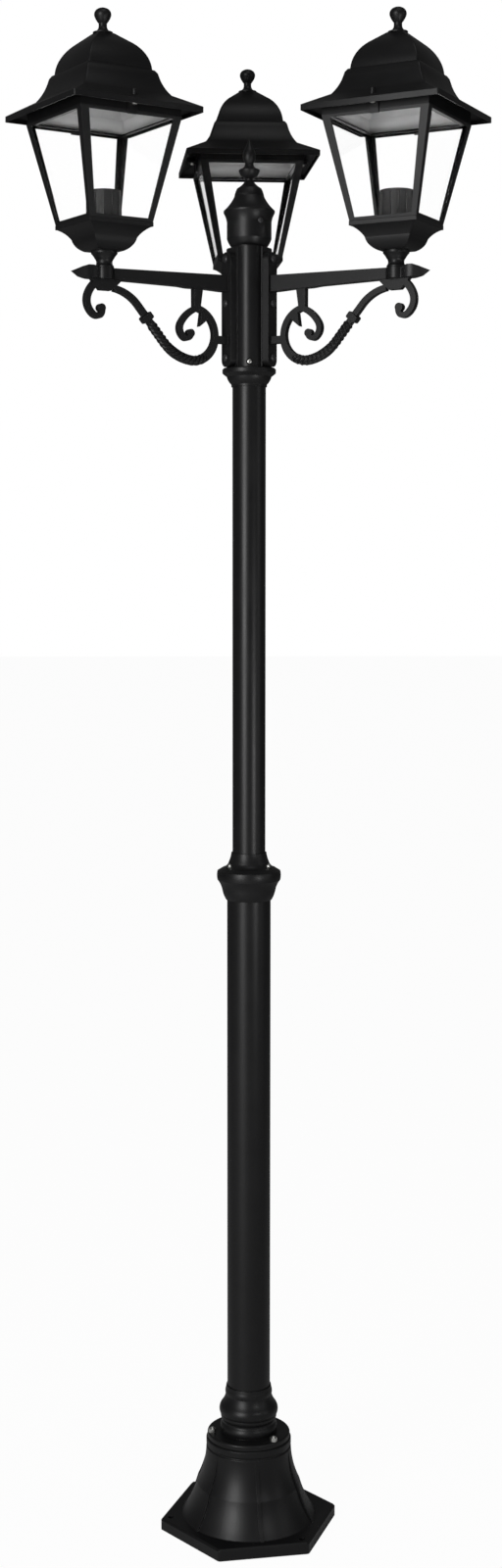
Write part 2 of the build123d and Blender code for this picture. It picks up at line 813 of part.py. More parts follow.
with BuildLine() as s_path:
    s_top = JernArc(in_arm(12.6, 24.5), polar(1, 188.1), 56.9 * scroll_unit, 41.6)
    s_flank = Line(s_top @ 1, (s_top @ 1) + (s_top % 1) * 57.4 * scroll_unit)
    s_knee = JernArc(s_flank @ 1, s_flank % 1, 64.7 * scroll_unit, -40.7)
    s_bowl = JernArc(s_knee @ 1, s_knee % 1, 32.8 * scroll_unit, -84.0)
    s_back = JernArc(s_bowl @ 1, s_bowl % 1, 35.6 * scroll_unit, -97.3)

with BuildLine() as outer_path:
    o_start = JernArc(in_arm(-14.3, 19.4), polar(1, -40.0), 34.2 * scroll_unit, -32.3)
    o_mid = JernArc(o_start @ 1, o_start % 1, 20.8 * scroll_unit, -80.7)
    o_eye = JernArc(o_mid @ 1, o_mid % 1, 6.8 * scroll_unit, -174.1)

with BuildLine() as inner_path:
    i_start = JernArc(in_arm(133.4, 42.9), polar(1, -20.7), 43.3 * scroll_unit, -40.5)
    i_mid = JernArc(i_start @ 1, i_start % 1, 13.8 * scroll_unit, -93.1)
    i_eye = JernArc(i_mid @ 1, i_mid % 1, 5.7 * scroll_unit, -150.1)

s_ribbon = ribbon(
    s_path.wires()[0],
    [
        (0, s_half_depth), (0.36, s_half_depth), (0.46, s_half_depth + 1.8),
        (0.64, s_half_depth + 2), (0.80, s_half_depth), (1, s_half_depth),
    ],
)
outer_ribbon = ribbon(
    outer_path.wires()[0],
    [(0, curl_half_depth + 0.6), (0.4, curl_half_depth), (1, curl_half_depth - 0.4)],
)
inner_ribbon = ribbon(
    inner_path.wires()[0],
    [(0, curl_half_depth), (0.5, curl_half_depth - 0.2), (1, curl_half_depth - 0.6)],
)
knuckle_centre = s_flank.position_at(0.34)
knuckle_slope = 49.7
leaf_in = lantern_reach + leaf_start
leaf_tip = leaf_in + leaf_length
stem_reach = lantern_reach - 134.0 * scroll_unit
mid_depth = between(bar_depth_at_seat, bar_depth_at_hub, 0.65)
thorn_tip = in_arm(152.5, 54.5)

with BuildPart() as bar:
    with BuildSketch(Plane.XZ):
        Polygon(
            (hub_core_radius, bar_top + bar_swell),
            (lantern_reach - 2 * seat_radius, bar_top),
            (lantern_reach + neck_foot_radius, bar_top),
            (leaf_in + 0.22 * leaf_length, bar_top + leaf_rise),
            (leaf_in + 0.41 * leaf_length, bar_top + leaf_rise),
            (leaf_tip, bar_top - 0.46 * bar_depth_at_seat),
            (leaf_in + 0.68 * leaf_length, bar_top - 0.84 * bar_depth_at_seat),
            (leaf_in + 0.30 * leaf_length, bar_top - 0.94 * bar_depth_at_seat),
            (lantern_reach - 4.5 * seat_radius, bar_top - bar_depth_at_seat),
            (stem_reach + 2 * bar_width, bar_top - between(bar_depth_at_seat, mid_depth, 0.5)),
            (stem_reach + bar_width, bar_top - mid_depth),
            (stem_reach - bar_width, bar_top - mid_depth),
            (plate_face + 8, bar_top - bar_depth_at_hub),
            (hub_core_radius, bar_top - bar_depth_at_hub),
            align=None,
        )
    extrude(amount=seat_radius + 2, both=True)
    with BuildSketch(Plane.XY.offset(arm_plate_low)):
        with Locations((lantern_reach / 2, 0)):
            Rectangle(lantern_reach, bar_width)
        with Locations((lantern_reach, 0)):
            Circle(seat_radius)
        with BuildLine():
            leaf_root = leaf_half_width - 2
            Polyline((leaf_in - 4, -leaf_root), (leaf_in - 4, leaf_root), (leaf_in, leaf_root))
            bulge((leaf_in, leaf_root), (leaf_in + leaf_length / 2, leaf_root - 0.5), 2.2)
            bulge((leaf_in + leaf_length / 2, leaf_root - 0.5), (leaf_tip, 0), -0.4)
            bulge((leaf_tip, 0), (leaf_in + leaf_length / 2, 0.5 - leaf_root), -0.4)
            bulge((leaf_in + leaf_length / 2, 0.5 - leaf_root), (leaf_in, -leaf_root), 2.2)
            Line((leaf_in, -leaf_root), (leaf_in - 4, -leaf_root))
        make_face()
    extrude(amount=arm_plate_height, mode=Mode.INTERSECT)

with BuildPart() as arm:
    add(bar.part)
    # scrolls, stem, thorn, web and foot, all in the arm's plane
    with BuildSketch(Plane.XZ):
        add(s_ribbon)
        add(outer_ribbon)
        add(inner_ribbon)
        with Locations(o_eye.position_at(0.86), i_eye.position_at(0.86)):
            Circle(eye_radius)
        Polygon(
            (stem_reach - 5, bar_top - 43 * scroll_unit),
            (stem_reach + 4.8, bar_top - 43 * scroll_unit),
            (stem_reach + 5, bar_top - bar_depth_at_seat + 1),
            (stem_reach - 9.2, bar_top - bar_depth_at_seat + 1),
            align=None,
        )
        Polygon(
            thorn_tip,
            (stem_reach - 7, bar_top - 45 * scroll_unit),
            (stem_reach - 4, bar_top - 66 * scroll_unit),
            align=None,
        )
        Polygon(
            (lantern_reach - 24, bar_top - bar_depth_at_seat + 1),
            in_arm(13, 24.5),
            in_arm(8, 28),
            in_arm(-8, 28),
            in_arm(-15, 21),
            (leaf_in + 10, bar_top - bar_depth_at_seat + 2),
            align=None,
        )
        Polygon(
            (plate_face - 2, bar_top - 86.5 * scroll_unit),
            (plate_face - 2, bar_top - 76.5 * scroll_unit),
            in_arm(160.5, 76.5),
            in_arm(160.5, 86.5),
            align=None,
        )
    extrude(amount=scroll_width / 2, both=True)
    # knuckle round the S
    with BuildSketch(Plane.XZ):
        with Locations(Location((knuckle_centre.X, knuckle_centre.Y, 0), (0, 0, knuckle_slope))):
            RectangleRounded(9.6, 14.6, 2.2)
    extrude(amount=knuckle_width / 2, both=True)
    # back plate on the hub's pad
    with BuildSketch(Plane(origin=(hub_core_radius, 0, 0), x_dir=(0, 0, 1), z_dir=(1, 0, 0))):
        with Locations(((arm_plate_low + arm_plate_high) / 2, 0)):
            RectangleRounded(arm_plate_height, arm_plate_width, arm_plate_width / 2 - 2)
    extrude(amount=arm_plate_thickness)
    with Locations(*[outward(0, plate_face, height) for height in arm_screw_heights]):
        Hole(set_screw_radius + screw_slip, depth=arm_plate_thickness)
    # wire channel along the bar, and the seat of the lantern's hollow thread
    with BuildSketch(outward(0, hub_core_radius, wire_height)):
        Circle(wire_radius)
    extrude(amount=lantern_reach - hub_core_radius, mode=Mode.SUBTRACT)
    with BuildSketch(Plane.XY.offset(wire_height - nipple_bore)):
        with Locations((lantern_reach, 0)):
            Circle(nipple_bore)
    extrude(amount=wire_drop + nipple_bore, mode=Mode.SUBTRACT)
    with BuildSketch(Plane.XY.offset(bar_top - nipple_seat)):
        with Locations((lantern_reach, 0)):
            Circle(nipple_radius + slip)
    extrude(amount=nipple_seat + leaf_rise, mode=Mode.SUBTRACT)

for side, azimuth in arm_azimuth.items():
    with BuildPart() as turned_arm:
        add(arm.part, rotation=(0, 0, azimuth))
    turned_arm.part.label = f"{side}_arm"
    export_step(turned_arm.part, f"parts/{side}_arm.step")

# === lantern: every piece stands on the lantern's own axis, and is placed three times at the end

lantern_pieces = {}


def square_turn(profile, low, high, reach):
    """Four-sided solid: a profile in the XZ plane run along each side, mitred at the corners."""
    with BuildPart() as quarter:
        extrude(profile, amount=reach, both=True)
        with BuildSketch(Plane.XY.offset(low)):
            Polygon((0, 0), (reach, -reach), (reach, reach), align=None)
        extrude(amount=high - low, mode=Mode.INTERSECT)
    with BuildPart() as whole:
        for step in range(4):
            add(quarter.part, rotation=(0, 0, 90 * step))
    return whole.part


# neck: waisted spacer between the arm and the pan
neck_low = (neck_foot_radius, bar_top + neck_height * 0.1)
neck_high = (neck_foot_radius, bar_top + neck_height * 0.55)
neck_brim = (neck_flange_radius, pan_bottom - neck_flange_thickness)
thread_hole = nipple_radius + slip

with BuildPart() as neck:
    with BuildSketch(Plane.XZ):
        with BuildLine():
            Polyline(
                (thread_hole, pan_bottom), (thread_hole, bar_top), (neck_foot_radius, bar_top),
                neck_low,
            )
            bulge(neck_low, neck_high, neck_foot_radius - neck_waist_radius)
            bulge(neck_high, neck_brim, 0.3)
            Polyline(neck_brim, (neck_flange_radius, pan_bottom), (thread_hole, pan_bottom))
        make_face()
    revolve(axis=Axis.Z)
lantern_pieces["neck"] = neck

# nipple: hollow threaded tube through the arm, the neck and the pan, for the wires
nipple_top = pan_bottom + nipple_rise

with BuildPart() as nipple:
    with BuildSketch(Plane.XY.offset(bar_top - nipple_seat)):
        Circle(nipple_radius)
        Circle(nipple_bore, mode=Mode.SUBTRACT)
    extrude(amount=nipple_top - bar_top + nipple_seat)
lantern_pieces["nipple"] = nipple

# pan: square, convex at the foot and drawn in below the rim
strap_seat = pan_bottom + pan_floor
pan_rim_low = pan_top - pan_rim_height
pan_foot = (pan_foot_half, pan_bottom)
pan_knee = (pan_knee_half, pan_bottom + pan_knee_rise)
pan_lip = (pan_rim_half - 1.2, pan_rim_low)
inner_lip = (pan_rim_half - pan_rim_width, pan_rim_low + 0.8)
inner_knee = (pan_knee_half - pan_wall, pan_bottom + pan_knee_rise + pan_wall)
inner_foot = (pan_foot_half - pan_wall, strap_seat)

with BuildSketch(Plane.XZ) as pan_profile:
    with BuildLine():
        Polyline((0, strap_seat), (0, pan_bottom), pan_foot)
        bulge(pan_foot, pan_knee, -2.4)
        bulge(pan_knee, pan_lip, 1.5)
        Polyline(
            pan_lip,
            (pan_rim_half, pan_rim_low),
            (pan_rim_half, pan_top),
            (pan_rim_half - pan_rim_width, pan_top),
            inner_lip,
        )
        bulge(inner_lip, inner_knee, -1.5)
        bulge(inner_knee, inner_foot, 2.4)
        Line(inner_foot, (0, strap_seat))
    make_face()

pan_shell = square_turn(pan_profile.sketch, pan_bottom - 1, pan_top + 1, pan_rim_half + 5)

with BuildPart() as pan:
    add(pan_shell)
    with BuildSketch(Plane.XY.offset(pan_bottom)):
        Circle(thread_hole)
    extrude(amount=pan_floor, mode=Mode.SUBTRACT)
lantern_pieces["pan"] = pan

# holder strap: its feet press the cage's ledge on the pan, and its middle lies under the nut
strap_top = strap_seat + strap_thickness
ledge_top = pan_top + ledge_thickness

with BuildPart() as holder_strap:
    with BuildSketch(Plane.XZ):
        Polygon(
            (-strap_tip_half, ledge_top + strap_thickness),
            (5.5 - strap_tip_half, ledge_top + strap_thickness),
            (0.6 - strap_foot_half, strap_top),
            (strap_foot_half - 0.6, strap_top),
            (strap_tip_half - 5.5, ledge_top + strap_thickness),
            (strap_tip_half, ledge_top + strap_thickness),
            (strap_tip_half, ledge_top),
            (strap_tip_half - 4.6, ledge_top),
            (strap_foot_half + 0.4, strap_seat),
            (-strap_foot_half - 0.4, strap_seat),
            (4.6 - strap_tip_half, ledge_top),
            (-strap_tip_half, ledge_top),
            align=None,
        )
    extrude(amount=strap_width / 2, both=True)
    with BuildSketch(Plane.XY.offset(strap_seat)):
        Circle(thread_hole)
    extrude(amount=strap_thickness, mode=Mode.SUBTRACT)
lantern_pieces["holder_strap"] = holder_strap

# nipple nut
nut_top = strap_top + nut_height

with BuildPart() as nipple_nut:
    with BuildSketch(Plane.XY.offset(strap_top)):
        RegularPolygon(nut_flats / 2, 6, major_radius=False)
        Circle(thread_hole, mode=Mode.SUBTRACT)
    extrude(amount=nut_height)
lantern_pieces["nipple_nut"] = nipple_nut

# cage: four leaning corner posts, a ledge below, a flange above and two screw ears
window_low = pan_top + rail_low
window_high = cage_top - rail_high
ear_top = cage_top + ear_rise
ear_inner = cage_high_half - body_gap * 2
ear_reach = roof_screw_reach + ear_width / 2

with BuildPart() as cage:
    with BuildSketch(Plane.XY.offset(pan_top)):
        Rectangle(2 * cage_low_half, 2 * cage_low_half)
    with BuildSketch(Plane.XY.offset(cage_top)):
        Rectangle(2 * cage_high_half, 2 * cage_high_half)
    loft()
    with BuildSketch(Plane.XY.offset(pan_top)):
        Rectangle(2 * (cage_low_half - cage_wall), 2 * (cage_low_half - cage_wall))
    with BuildSketch(Plane.XY.offset(cage_top)):
        Rectangle(2 * (cage_high_half - cage_wall), 2 * (cage_high_half - cage_wall))
    loft(mode=Mode.SUBTRACT)
    for face_plane in (Plane.XZ, Plane.YZ):
        with BuildSketch(face_plane):
            Polygon(
                (lean(window_low) - post_low_width, window_low),
                (lean(window_high) - post_high_width, window_high),
                (post_high_width - lean(window_high), window_high),
                (post_low_width - lean(window_low), window_low),
                align=None,
            )
        extrude(amount=100, both=True, mode=Mode.SUBTRACT)
    with BuildSketch(Plane.XY.offset(pan_top)):
        Rectangle(2 * cage_low_half - 1, 2 * cage_low_half - 1)
        Rectangle(2 * ledge_half, 2 * ledge_half, mode=Mode.SUBTRACT)
    extrude(amount=ledge_thickness)
    with BuildSketch(Plane.XY.offset(cage_top - ledge_thickness)):
        Rectangle(2 * cage_high_half - 2, 2 * cage_high_half - 2)
        Rectangle(2 * flange_half, 2 * flange_half, mode=Mode.SUBTRACT)
    extrude(amount=ledge_thickness)
    with BuildSketch(Plane.YZ):
        for way in (1, -1):
            Polygon(
                (way * ear_inner, ear_top),
                (way * ear_reach, ear_top),
                (way * ear_reach, ear_top - ear_thickness),
                (way * (ear_inner + cage_wall), ear_top - ear_thickness),
                (way * (ear_inner + cage_wall), cage_top - 5),
                (way * (cage_high_half - 1.8), cage_top - 5),
                (way * ear_inner, cage_top - 2),
                align=None,
            )
    extrude(amount=ear_width / 2, both=True)
    with Locations((0, roof_screw_reach, ear_top), (0, -roof_screw_reach, ear_top)):
        Hole(roof_screw_radius + screw_slip, depth=ear_thickness)
lantern_pieces["cage"] = cage

# glass: four panes behind the corner posts, those at the sides between the other two
glass_face = cage_wall + glass_gap
glass_back = glass_face + glass_thickness
pane_low = ledge_top
pane_high = cage_top - ledge_thickness

with BuildPart() as end_pane:
    for height in (pane_low, pane_high):
        with BuildSketch(Plane.XY.offset(height)):
            with Locations((lean(height) - (glass_face + glass_back) / 2, 0)):
                Rectangle(glass_thickness, 2 * (lean(height) - glass_face - glass_gap))
    loft()

with BuildPart() as side_pane:
    for height in (pane_low, pane_high):
        with BuildSketch(Plane.XY.offset(height)):
            with Locations((lean(height) - (glass_face + glass_back) / 2, 0)):
                Rectangle(glass_thickness, 2 * (lean(height) - glass_back - glass_gap))
    loft()

with BuildPart() as glass_panes:
    for step in range(2):
        add(end_pane.part, rotation=(0, 0, 180 * step))
        add(side_pane.part, rotation=(0, 0, 180 * step + 90))
lantern_pieces["glass_panes"] = glass_panes

# lamp holder: ribbed body with a wire chamber below and the lamp's socket above
holder_cone_low = nut_top + holder_base_height
holder_shoulder = holder_cone_low + holder_cone_height
holder_floor_low = holder_shoulder + holder_floor_rise
holder_floor = holder_floor_low + holder_floor_thickness
holder_top = holder_shoulder + holder_body_height
socket_bottom = holder_floor + socket_rise
socket_hole = socket_radius + socket_wall + 0.4

with BuildPart() as lamp_holder:
    with BuildSketch(Plane.XZ):
        Polygon(
            (thread_hole, nut_top),
            (holder_base_radius, nut_top),
            (holder_base_radius, holder_cone_low),
            (holder_radius, holder_shoulder),
            (holder_radius, holder_top),
            (socket_hole, holder_top),
            (socket_hole, socket_bottom),
            (contact_radius + 6, socket_bottom),
            (contact_radius + 6, holder_floor),
            (0, holder_floor),
            (0, holder_floor_low),
            (holder_chamber_radius, holder_floor_low),
            (holder_chamber_radius, nipple_top),
            (thread_hole, nipple_top),
            align=None,
        )
    revolve(axis=Axis.Z)
    with BuildSketch(Plane.XY.offset(holder_shoulder)):
        with PolarLocations(holder_radius, holder_rib_count):
            Circle(holder_rib_radius)
        Circle(holder_radius - 1, mode=Mode.SUBTRACT)
    extrude(amount=holder_body_height - 3)
    wire_hole = (contact_radius + holder_chamber_radius) / 2
    with Locations((wire_hole, 0, holder_floor), (-wire_hole, 0, holder_floor)):
        Hole(1.2, depth=holder_floor_thickness)
lantern_pieces["lamp_holder"] = lamp_holder

# socket shell and centre contact
with BuildPart() as socket_shell:
    with BuildSketch(Plane.XY.offset(socket_bottom)):
        Circle(socket_radius + socket_wall)
        Circle(socket_radius, mode=Mode.SUBTRACT)
    extrude(amount=socket_length)
lantern_pieces["socket_shell"] = socket_shell

with BuildPart() as centre_contact:
    with BuildSketch(Plane.XY.offset(holder_floor)):
        Circle(contact_radius)
    extrude(amount=contact_height)
    fillet(centre_contact.faces().sort_by(Axis.Z)[-1].edges(), 0.8)
lantern_pieces["centre_contact"] = centre_contact

# roof: four-sided shell with a wide eave, a step and a domed crown
roof_shoulder = (shoulder_half, eave_low + shoulder_rise)
dome_foot = (dome_half, eave_low + dome_rise)
dome_lip = (dome_half + 2.7, eave_low + dome_rise - 1)
step_top = (step_half - 1, eave_low + step_rise + 5)
step_foot = (step_half + 0.3, eave_low + step_rise)
crease = (crease_half, eave_low + crease_rise)
eave_top = eave_low + eave_edge
screw_boss_low = ear_top + body_gap
screw_boss_top = brim(roof_screw_reach) + 3


def inside(point):
    """Point of the roof's inner face for one of its outer face."""
    return (point[0] - roof_wall, point[1] - roof_wall)


with BuildSketch(Plane.XZ) as roof_profile:
    with BuildLine():
        Polyline((0, roof_top), (roof_top_half, roof_top), roof_shoulder)
        bulge(roof_shoulder, dome_foot, 4.9)
        Polyline(dome_foot, dome_lip, step_top, step_foot)
        bulge(step_foot, crease, -1.4)
        Polyline(
            crease,
            (eave_half, eave_top),
            (eave_half, eave_low),
            (eave_half - roof_wall, eave_low),
            inside((eave_half, eave_top)),
            inside(crease),
        )
        bulge(inside(crease), inside(step_foot), 1.4)
        Polyline(inside(step_foot), inside(step_top), inside(dome_lip), inside(dome_foot))
        bulge(inside(dome_foot), inside(roof_shoulder), -4.9)
        Polyline(
            inside(roof_shoulder),
            (roof_top_half + 5.5, roof_top - crown_thickness),
            (0, roof_top - crown_thickness),
            (0, roof_top),
        )
    make_face()

rim_half = cage_high_half - 3 * body_gap
rim_low = cage_top + body_gap

roof_shell = square_turn(roof_profile.sketch, eave_low - 1, roof_top + 1, eave_half + 10)

with BuildPart() as roof:
    add(roof_shell)
    # band that stands over the cage's flange
    with BuildSketch(Plane.XY.offset(rim_low)):
        Rectangle(2 * rim_half, 2 * rim_half)
        Rectangle(2 * (rim_half - rim_width), 2 * (rim_half - rim_width), mode=Mode.SUBTRACT)
    extrude(amount=brim(rim_half) - roof_wall / 2 - rim_low)
    # bosses for the two screws, closed at the top
    with BuildSketch(Plane.XY.offset(screw_boss_low)):
        with Locations((0, roof_screw_reach), (0, -roof_screw_reach)):
            Circle(roof_screw_head + 0.4)
    extrude(amount=screw_boss_top - screw_boss_low)
    with BuildSketch(Plane.XY.offset(screw_boss_low)):
        with Locations((0, roof_screw_reach), (0, -roof_screw_reach)):
            Circle(roof_screw_radius + body_gap)
    extrude(amount=screw_boss_top - screw_boss_low - 1.5, mode=Mode.SUBTRACT)
    with Locations((0, 0, roof_top)):
        Hole(finial_stud_radius + slip, depth=crown_thickness + 1)
lantern_pieces["roof"] = roof

# roof screws: from below through the cage's ears into the roof's bosses
screw_seat = ear_top - ear_thickness
seats = [
    Plane(origin=(0, way * roof_screw_reach, screw_seat), x_dir=(1, 0, 0), z_dir=(0, 0, -1))
    for way in (1, -1)
]

with BuildPart() as roof_screws:
    with Locations(*seats):
        add(round_screw(
            roof_screw_radius, screw_boss_top - 2.5 - screw_seat,
            roof_screw_head, roof_screw_head_height,
        ))
lantern_pieces["roof_screws"] = roof_screws

# roof finial: mushroom knob on a stud
skirt_top = (finial_foot_radius, roof_top + 2)
stem_low = (finial_stem_radius, roof_top + finial_height * 0.31)
stem_high = (finial_stem_radius, roof_top + finial_height * 0.4)
knob_low = (finial_knob_radius - 0.4, roof_top + finial_height * 0.65)
knob_high = (finial_knob_radius - 3.6, finial_top - 1.9)

with BuildPart() as roof_finial:
    with BuildSketch(Plane.XZ):
        with BuildLine():
            Polyline(
                (0, finial_top),
                (0, roof_top - crown_thickness - 1),
                (finial_stud_radius, roof_top - crown_thickness - 1),
                (finial_stud_radius, roof_top),
                (finial_foot_radius, roof_top),
                skirt_top,
            )
            bulge(skirt_top, stem_low, 2.2)
            Line(stem_low, stem_high)
            bulge(stem_high, knob_low, -0.4)
            bulge(knob_low, knob_high, -1.9)
            bulge(knob_high, (1.6, finial_top), -0.3)
            Line((1.6, finial_top), (0, finial_top))
        make_face()
    revolve(axis=Axis.Z)
lantern_pieces["roof_finial"] = roof_finial

for side, azimuth in arm_azimuth.items():
    turn = azimuth + lantern_turn[side]
    spot = Location((*polar(lantern_reach, azimuth), 0), (0, 0, turn))
    for name, piece in lantern_pieces.items():
        with BuildPart() as placed:
            with Locations(spot):
                add(piece.part)
        placed.part.label = f"{side}_{name}"
        export_step(placed.part, f"parts/{side}_{name}.step")
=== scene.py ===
import math

import bmesh
import bpy
from mathutils import Matrix, Vector


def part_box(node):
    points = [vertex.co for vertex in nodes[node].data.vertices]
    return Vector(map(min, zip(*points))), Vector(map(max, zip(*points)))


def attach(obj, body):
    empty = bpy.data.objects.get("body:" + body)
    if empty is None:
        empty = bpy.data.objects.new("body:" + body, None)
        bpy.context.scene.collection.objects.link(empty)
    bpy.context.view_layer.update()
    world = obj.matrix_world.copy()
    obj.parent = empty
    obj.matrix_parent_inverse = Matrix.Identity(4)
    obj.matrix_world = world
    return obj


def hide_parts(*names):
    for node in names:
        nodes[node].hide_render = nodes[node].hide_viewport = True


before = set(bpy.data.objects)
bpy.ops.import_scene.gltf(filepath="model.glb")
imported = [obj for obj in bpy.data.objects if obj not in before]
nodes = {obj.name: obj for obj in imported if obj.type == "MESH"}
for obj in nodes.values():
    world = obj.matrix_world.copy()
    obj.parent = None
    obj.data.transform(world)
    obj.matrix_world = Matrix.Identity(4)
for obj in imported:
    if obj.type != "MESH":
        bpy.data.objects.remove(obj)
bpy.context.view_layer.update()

sides = {"left": 210.0, "right": 330.0, "back": 90.0}
mm = 0.001

# Camera: at about two thirds of the post's height and a little left of it, tipped down
# by under six degrees, so that the lanterns are seen from below and the foot from above.
eye = bpy.data.objects.new("eye", bpy.data.cameras.new("eye"))
bpy.context.scene.collection.objects.link(eye)
bpy.context.scene.camera = eye
eye.location = (-0.0332, -2.7985, 1.3474)
eye.rotation_euler = (math.radians(84.08), math.radians(0.08), math.radians(0.36))
eye.data.lens = 47.07
eye.data.shift_x = 0.0251
eye.data.sensor_width = 36.0
eye.data.clip_start = 0.05
eye.data.clip_end = 100.0

# Studio: a white floor under a white room, with a faint shadow of the foot on the floor. A
# large soft box at the left puts a long soft light on the black paint. Three weaker lights
# stand at the right, hang above, and shine up into the right lantern.
ambient = 0.05
room_in_mirrors = 0.1
floor_glow = 0.97
scene = bpy.context.scene
scene.view_settings.view_transform = "Standard"

room = bpy.data.worlds.new("room")
scene.world = room
room.use_nodes = True
air = room.node_tree
air.nodes.clear()
path = air.nodes.new("ShaderNodeLightPath")
seen = air.nodes.new("ShaderNodeMath")
seen.operation = "MAXIMUM"
air.links.new(path.outputs["Is Camera Ray"], seen.inputs[0])
air.links.new(path.outputs["Is Transmission Ray"], seen.inputs[1])


def background(strength):
    """White room of a given strength, as a node of the world."""
    shade = air.nodes.new("ShaderNodeBackground")
    shade.inputs["Color"].default_value = (1.0, 1.0, 1.0, 1.0)
    shade.inputs["Strength"].default_value = strength
    return shade


dim = background(ambient)
mirrored = background(room_in_mirrors)
white = background(1.0)
glossy = air.nodes.new("ShaderNodeMixShader")
choose = air.nodes.new("ShaderNodeMixShader")
sky = air.nodes.new("ShaderNodeOutputWorld")
air.links.new(path.outputs["Is Glossy Ray"], glossy.inputs[0])
air.links.new(dim.outputs[0], glossy.inputs[1])
air.links.new(mirrored.outputs[0], glossy.inputs[2])
air.links.new(seen.outputs[0], choose.inputs[0])
air.links.new(glossy.outputs[0], choose.inputs[1])
air.links.new(white.outputs[0], choose.inputs[2])
air.links.new(choose.outputs[0], sky.inputs["Surface"])

ground_mesh = bmesh.new()
bmesh.ops.create_grid(ground_mesh, x_segments=1, y_segments=1, size=30.0)
ground_data = bpy.data.meshes.new("ground")
ground_mesh.to_mesh(ground_data)
ground_mesh.free()
ground = bpy.data.objects.new("ground", ground_data)
scene.collection.objects.link(ground)
ground.location = (0.0, 0.0, -0.0005)
paper = bpy.data.materials.new("paper")
paper.use_nodes = True
sheet = paper.node_tree
sheet.nodes.clear()
matt = sheet.nodes.new("ShaderNodeBsdfDiffuse")
matt.inputs["Color"].default_value = (0.85, 0.85, 0.85, 1.0)
glow = sheet.nodes.new("ShaderNodeEmission")
glow.inputs["Strength"].default_value = 1.0
rays = sheet.nodes.new("ShaderNodeLightPath")
any_seen = sheet.nodes.new("ShaderNodeMath")
any_seen.operation = "MAXIMUM"
sheet.links.new(rays.outputs["Is Camera Ray"], any_seen.inputs[0])
sheet.links.new(rays.outputs["Is Transmission Ray"], any_seen.inputs[1])
share = sheet.nodes.new("ShaderNodeMath")
share.operation = "MULTIPLY"
share.inputs[1].default_value = floor_glow
sheet.links.new(any_seen.outputs[0], share.inputs[0])
both = sheet.nodes.new("ShaderNodeMixShader")
top_face = sheet.nodes.new("ShaderNodeOutputMaterial")
sheet.links.new(share.outputs[0], both.inputs[0])
sheet.links.new(matt.outputs[0], both.inputs[1])
sheet.links.new(glow.outputs[0], both.inputs[2])
sheet.links.new(both.outputs[0], top_face.inputs["Surface"])
ground_data.materials.append(paper)


def soft_box(name, place, aim, width, height, power):
    """Rectangular studio light that faces a point of the object."""
    lamp = bpy.data.lights.new(name, "AREA")
    lamp.shape = "RECTANGLE"
    lamp.size = width
    lamp.size_y = height
    lamp.energy = power
    holder = bpy.data.objects.new(name, lamp)
    scene.collection.objects.link(holder)
    holder.location = place
    holder.rotation_euler = (Vector(aim) - Vector(place)).to_track_quat("-Z", "Y").to_euler()


soft_box("left_box", (-2.0, -3.1, 1.7), (0.0, 0.0, 1.1), 1.2, 2.6, 112.0)
soft_box("low_box", (0.9, -1.3, 0.9), (0.19, -0.11, 1.95), 0.3, 0.3, 7.0)
soft_box("right_box", (3.2, -1.2, 1.6), (0.0, 0.0, 1.2), 0.9, 2.4, 8.0)
soft_box("top_box", (0.4, -1.2, 4.4), (0.0, 0.0, 1.0), 1.6, 1.6, 12.0)

# Base casting: die-cast aluminium, powder coated satin black like every casting above it.
# The coat has a faint orange peel, slightly uneven gloss and softened edges.


def cast_skin():
    """Node group for a powder coat: uneven shade, uneven gloss and orange peel."""
    skin = bpy.data.node_groups.new("cast_skin", "ShaderNodeTree")
    face = skin.interface
    for label in ("Grain", "Depth", "Gloss"):
        face.new_socket(name=label, in_out="INPUT", socket_type="NodeSocketFloat")
    for label in ("Shade", "Roughness", "Height"):
        face.new_socket(name=label, in_out="OUTPUT", socket_type="NodeSocketFloat")
    values = skin.nodes.new("NodeGroupInput")
    results = skin.nodes.new("NodeGroupOutput")
    place = skin.nodes.new("ShaderNodeTexCoord")
    fine = skin.nodes.new("ShaderNodeTexNoise")
    fine.inputs["Detail"].default_value = 2.0
    skin.links.new(place.outputs["Object"], fine.inputs["Vector"])
    skin.links.new(values.outputs["Grain"], fine.inputs["Scale"])
    broad = skin.nodes.new("ShaderNodeTexNoise")
    broad.inputs["Scale"].default_value = 24.0
    broad.inputs["Detail"].default_value = 3.0
    skin.links.new(place.outputs["Object"], broad.inputs["Vector"])
    shade = skin.nodes.new("ShaderNodeMapRange")
    shade.inputs["To Min"].default_value = 0.8
    shade.inputs["To Max"].default_value = 1.2
    skin.links.new(broad.outputs["Fac"], shade.inputs["Value"])
    skin.links.new(shade.outputs[0], results.inputs["Shade"])
    uneven = skin.nodes.new("ShaderNodeMath")
    uneven.operation = "MULTIPLY_ADD"
    uneven.inputs[1].default_value = 0.12
    skin.links.new(broad.outputs["Fac"], uneven.inputs[0])
    skin.links.new(values.outputs["Gloss"], uneven.inputs[2])
    skin.links.new(uneven.outputs[0], results.inputs["Roughness"])
    peel = skin.nodes.new("ShaderNodeMath")
    peel.operation = "MULTIPLY"
    skin.links.new(fine.outputs["Fac"], peel.inputs[0])
    skin.links.new(values.outputs["Depth"], peel.inputs[1])
    skin.links.new(peel.outputs[0], results.inputs["Height"])
    return skin


coat_skin = cast_skin()


